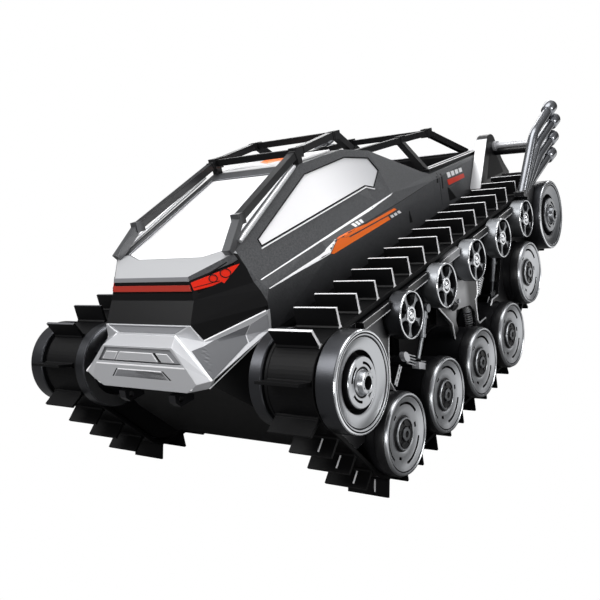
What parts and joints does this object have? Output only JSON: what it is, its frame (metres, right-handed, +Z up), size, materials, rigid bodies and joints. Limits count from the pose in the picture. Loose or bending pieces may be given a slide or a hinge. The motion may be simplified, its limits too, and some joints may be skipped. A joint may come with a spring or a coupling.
{
  "type": "tracked tank chassis",
  "caption": "Low tracked vehicle chassis with a faceted cab, roll cage, open load bed, side exhausts and two paddle tracks over spinning wheels.",
  "frame": {"origin": "centre of the bounding box seen from above, at ground level under the track paddles", "axes": "+Z up, +Y towards the rear, nose towards -Y, +X towards the vehicle's left"},
  "size_m": [0.245, 0.4034, 0.2033],
  "materials": {
    "track_rubber": "matte moulded track",
    "wheel_silver": "satin machined finish",
    "roller_silver": "bright satin finish",
    "steel": "turned steel",
    "chrome_parts": "polished",
    "frame_black": "moulded, fine texture",
    "cover_silver": "silver paint",
    "body_grey": "dark grey with a fine grain",
    "nose_black": "black",
    "silver_paint": "silver paint",
    "red_lens": "red lens",
    "window": "pale reflective glass",
    "roof_white": "white",
    "cage_black": "satin black",
    "battery_wrap": "shrink wrap",
    "motor_steel": "motor can and gearbox",
    "board_green": "solder mask"
  },
  "bodies": {
    "chassis": {"axle_bolts": "steel", "battery_pack": "battery_wrap", "belly_plate": "frame_black", "body_shell": "body_grey", "bumper_grille": "frame_black", "cage_crossbars": "cage_black", "cage_rails": "cage_black", "circuit_board": "board_green", "coil_springs": "steel", "dampers": "chrome_parts", "drive_motors": "motor_steel", "exhausts": "chrome_parts", "fins": "frame_black", "front_bumper": "silver_paint", "headlights": "red_lens", "hood": "silver_paint", "light_bar": "red_lens", "lower_hull": "frame_black", "nose_panel": "nose_black", "rear_bed": "cage_black", "rear_rails": "cage_black", "rear_window": "window", "roof_panel": "roof_white", "screws": "steel", "side_cover_left": "cover_silver", "side_cover_right": "cover_silver", "side_windows": "window", "tow_eyes": "steel", "track_frame_left": "frame_black", "track_frame_right": "frame_black", "track_left": "track_rubber", "track_right": "track_rubber", "windscreen": "window"},
    "rear_wheel_left": {"rear_wheel_left": "wheel_silver", "drive_shaft_left": "steel"},
    "front_wheel_left": {"front_wheel_left": "wheel_silver"},
    "road_wheel_1_left": {"road_wheel_1_left": "wheel_silver"},
    "road_wheel_2_left": {"road_wheel_2_left": "wheel_silver"},
    "road_wheel_3_left": {"road_wheel_3_left": "wheel_silver"},
    "road_wheel_4_left": {"road_wheel_4_left": "wheel_silver"},
    "road_wheel_5_left": {"road_wheel_5_left": "wheel_silver"},
    "return_roller_1_left": {"return_roller_1_left": "roller_silver"},
    "return_roller_2_left": {"return_roller_2_left": "roller_silver"},
    "return_roller_3_left": {"return_roller_3_left": "roller_silver"},
    "return_roller_4_left": {"return_roller_4_left": "roller_silver"},
    "return_roller_5_left": {"return_roller_5_left": "roller_silver"},
    "rear_wheel_right": {"rear_wheel_right": "wheel_silver", "drive_shaft_right": "steel"},
    "front_wheel_right": {"front_wheel_right": "wheel_silver"},
    "road_wheel_1_right": {"road_wheel_1_right": "wheel_silver"},
    "road_wheel_2_right": {"road_wheel_2_right": "wheel_silver"},
    "road_wheel_3_right": {"road_wheel_3_right": "wheel_silver"},
    "road_wheel_4_right": {"road_wheel_4_right": "wheel_silver"},
    "road_wheel_5_right": {"road_wheel_5_right": "wheel_silver"},
    "return_roller_1_right": {"return_roller_1_right": "roller_silver"},
    "return_roller_2_right": {"return_roller_2_right": "roller_silver"},
    "return_roller_3_right": {"return_roller_3_right": "roller_silver"},
    "return_roller_4_right": {"return_roller_4_right": "roller_silver"},
    "return_roller_5_right": {"return_roller_5_right": "roller_silver"}
  },
  "joints": [
    {"name": "rear_wheel_left_spin", "type": "hinge", "parent": "chassis", "child": "rear_wheel_left", "pos_m": [0.094, 0.14385, 0.1041], "axis": [1, 0, 0], "continuous": true},
    {"name": "front_wheel_left_spin", "type": "hinge", "parent": "chassis", "child": "front_wheel_left", "pos_m": [0.094, -0.16285, 0.085], "axis": [1, 0, 0], "continuous": true},
    {"name": "road_wheel_1_left_spin", "type": "hinge", "parent": "chassis", "child": "road_wheel_1_left", "pos_m": [0.1, -0.12355, 0.0374], "axis": [1, 0, 0], "continuous": true},
    {"name": "road_wheel_2_left_spin", "type": "hinge", "parent": "chassis", "child": "road_wheel_2_left", "pos_m": [0.1, -0.06765, 0.0374], "axis": [1, 0, 0], "continuous": true},
    {"name": "road_wheel_3_left_spin", "type": "hinge", "parent": "chassis", "child": "road_wheel_3_left", "pos_m": [0.1, -0.01175, 0.0374], "axis": [1, 0, 0], "continuous": true},
    {"name": "road_wheel_4_left_spin", "type": "hinge", "parent": "chassis", "child": "road_wheel_4_left", "pos_m": [0.1, 0.04415, 0.0374], "axis": [1, 0, 0], "continuous": true},
    {"name": "road_wheel_5_left_spin", "type": "hinge", "parent": "chassis", "child": "road_wheel_5_left", "pos_m": [0.1, 0.09275, 0.0706], "axis": [1, 0, 0], "continuous": true},
    {"name": "return_roller_1_left_spin", "type": "hinge", "parent": "chassis", "child": "return_roller_1_left", "pos_m": [0.1, -0.09645, 0.099], "axis": [1, 0, 0], "continuous": true},
    {"name": "return_roller_2_left_spin", "type": "hinge", "parent": "chassis", "child": "return_roller_2_left", "pos_m": [0.1, -0.04755, 0.10204], "axis": [1, 0, 0], "continuous": true},
    {"name": "return_roller_3_left_spin", "type": "hinge", "parent": "chassis", "child": "return_roller_3_left", "pos_m": [0.1, 0.00135, 0.10509], "axis": [1, 0, 0], "continuous": true},
    {"name": "return_roller_4_left_spin", "type": "hinge", "parent": "chassis", "child": "return_roller_4_left", "pos_m": [0.1, 0.05025, 0.10814], "axis": [1, 0, 0], "continuous": true},
    {"name": "return_roller_5_left_spin", "type": "hinge", "parent": "chassis", "child": "return_roller_5_left", "pos_m": [0.1, 0.09915, 0.11118], "axis": [1, 0, 0], "continuous": true},
    {"name": "rear_wheel_right_spin", "type": "hinge", "parent": "chassis", "child": "rear_wheel_right", "pos_m": [-0.094, 0.14385, 0.1041], "axis": [1, 0, 0], "continuous": true},
    {"name": "front_wheel_right_spin", "type": "hinge", "parent": "chassis", "child": "front_wheel_right", "pos_m": [-0.094, -0.16285, 0.085], "axis": [1, 0, 0], "continuous": true},
    {"name": "road_wheel_1_right_spin", "type": "hinge", "parent": "chassis", "child": "road_wheel_1_right", "pos_m": [-0.1, -0.12355, 0.0374], "axis": [1, 0, 0], "continuous": true},
    {"name": "road_wheel_2_right_spin", "type": "hinge", "parent": "chassis", "child": "road_wheel_2_right", "pos_m": [-0.1, -0.06765, 0.0374], "axis": [1, 0, 0], "continuous": true},
    {"name": "road_wheel_3_right_spin", "type": "hinge", "parent": "chassis", "child": "road_wheel_3_right", "pos_m": [-0.1, -0.01175, 0.0374], "axis": [1, 0, 0], "continuous": true},
    {"name": "road_wheel_4_right_spin", "type": "hinge", "parent": "chassis", "child": "road_wheel_4_right", "pos_m": [-0.1, 0.04415, 0.0374], "axis": [1, 0, 0], "continuous": true},
    {"name": "road_wheel_5_right_spin", "type": "hinge", "parent": "chassis", "child": "road_wheel_5_right", "pos_m": [-0.1, 0.09275, 0.0706], "axis": [1, 0, 0], "continuous": true},
    {"name": "return_roller_1_right_spin", "type": "hinge", "parent": "chassis", "child": "return_roller_1_right", "pos_m": [-0.1, -0.09645, 0.099], "axis": [1, 0, 0], "continuous": true},
    {"name": "return_roller_2_right_spin", "type": "hinge", "parent": "chassis", "child": "return_roller_2_right", "pos_m": [-0.1, -0.04755, 0.10204], "axis": [1, 0, 0], "continuous": true},
    {"name": "return_roller_3_right_spin", "type": "hinge", "parent": "chassis", "child": "return_roller_3_right", "pos_m": [-0.1, 0.00135, 0.10509], "axis": [1, 0, 0], "continuous": true},
    {"name": "return_roller_4_right_spin", "type": "hinge", "parent": "chassis", "child": "return_roller_4_right", "pos_m": [-0.1, 0.05025, 0.10814], "axis": [1, 0, 0], "continuous": true},
    {"name": "return_roller_5_right_spin", "type": "hinge", "parent": "chassis", "child": "return_roller_5_right", "pos_m": [-0.1, 0.09915, 0.11118], "axis": [1, 0, 0], "continuous": true}
  ],
  "couplings": [
    {"joint": "front_wheel_left_spin", "follows": "rear_wheel_left_spin", "ratio": 1},
    {"joint": "road_wheel_1_left_spin", "follows": "rear_wheel_left_spin", "ratio": 0.9617},
    {"joint": "road_wheel_2_left_spin", "follows": "rear_wheel_left_spin", "ratio": 0.9617},
    {"joint": "road_wheel_3_left_spin", "follows": "rear_wheel_left_spin", "ratio": 0.9617},
    {"joint": "road_wheel_4_left_spin", "follows": "rear_wheel_left_spin", "ratio": 0.9617},
    {"joint": "road_wheel_5_left_spin", "follows": "rear_wheel_left_spin", "ratio": 0.9617},
    {"joint": "return_roller_1_left_spin", "follows": "rear_wheel_left_spin", "ratio": 1.7936},
    {"joint": "return_roller_2_left_spin", "follows": "rear_wheel_left_spin", "ratio": 1.7936},
    {"joint": "return_roller_3_left_spin", "follows": "rear_wheel_left_spin", "ratio": 1.7936},
    {"joint": "return_roller_4_left_spin", "follows": "rear_wheel_left_spin", "ratio": 1.7936},
    {"joint": "return_roller_5_left_spin", "follows": "rear_wheel_left_spin", "ratio": 1.7936},
    {"joint": "front_wheel_right_spin", "follows": "rear_wheel_right_spin", "ratio": 1},
    {"joint": "road_wheel_1_right_spin", "follows": "rear_wheel_right_spin", "ratio": 0.9617},
    {"joint": "road_wheel_2_right_spin", "follows": "rear_wheel_right_spin", "ratio": 0.9617},
    {"joint": "road_wheel_3_right_spin", "follows": "rear_wheel_right_spin", "ratio": 0.9617},
    {"joint": "road_wheel_4_right_spin", "follows": "rear_wheel_right_spin", "ratio": 0.9617},
    {"joint": "road_wheel_5_right_spin", "follows": "rear_wheel_right_spin", "ratio": 0.9617},
    {"joint": "return_roller_1_right_spin", "follows": "rear_wheel_right_spin", "ratio": 1.7936},
    {"joint": "return_roller_2_right_spin", "follows": "rear_wheel_right_spin", "ratio": 1.7936},
    {"joint": "return_roller_3_right_spin", "follows": "rear_wheel_right_spin", "ratio": 1.7936},
    {"joint": "return_roller_4_right_spin", "follows": "rear_wheel_right_spin", "ratio": 1.7936},
    {"joint": "return_roller_5_right_spin", "follows": "rear_wheel_right_spin", "ratio": 1.7936}
  ]
}
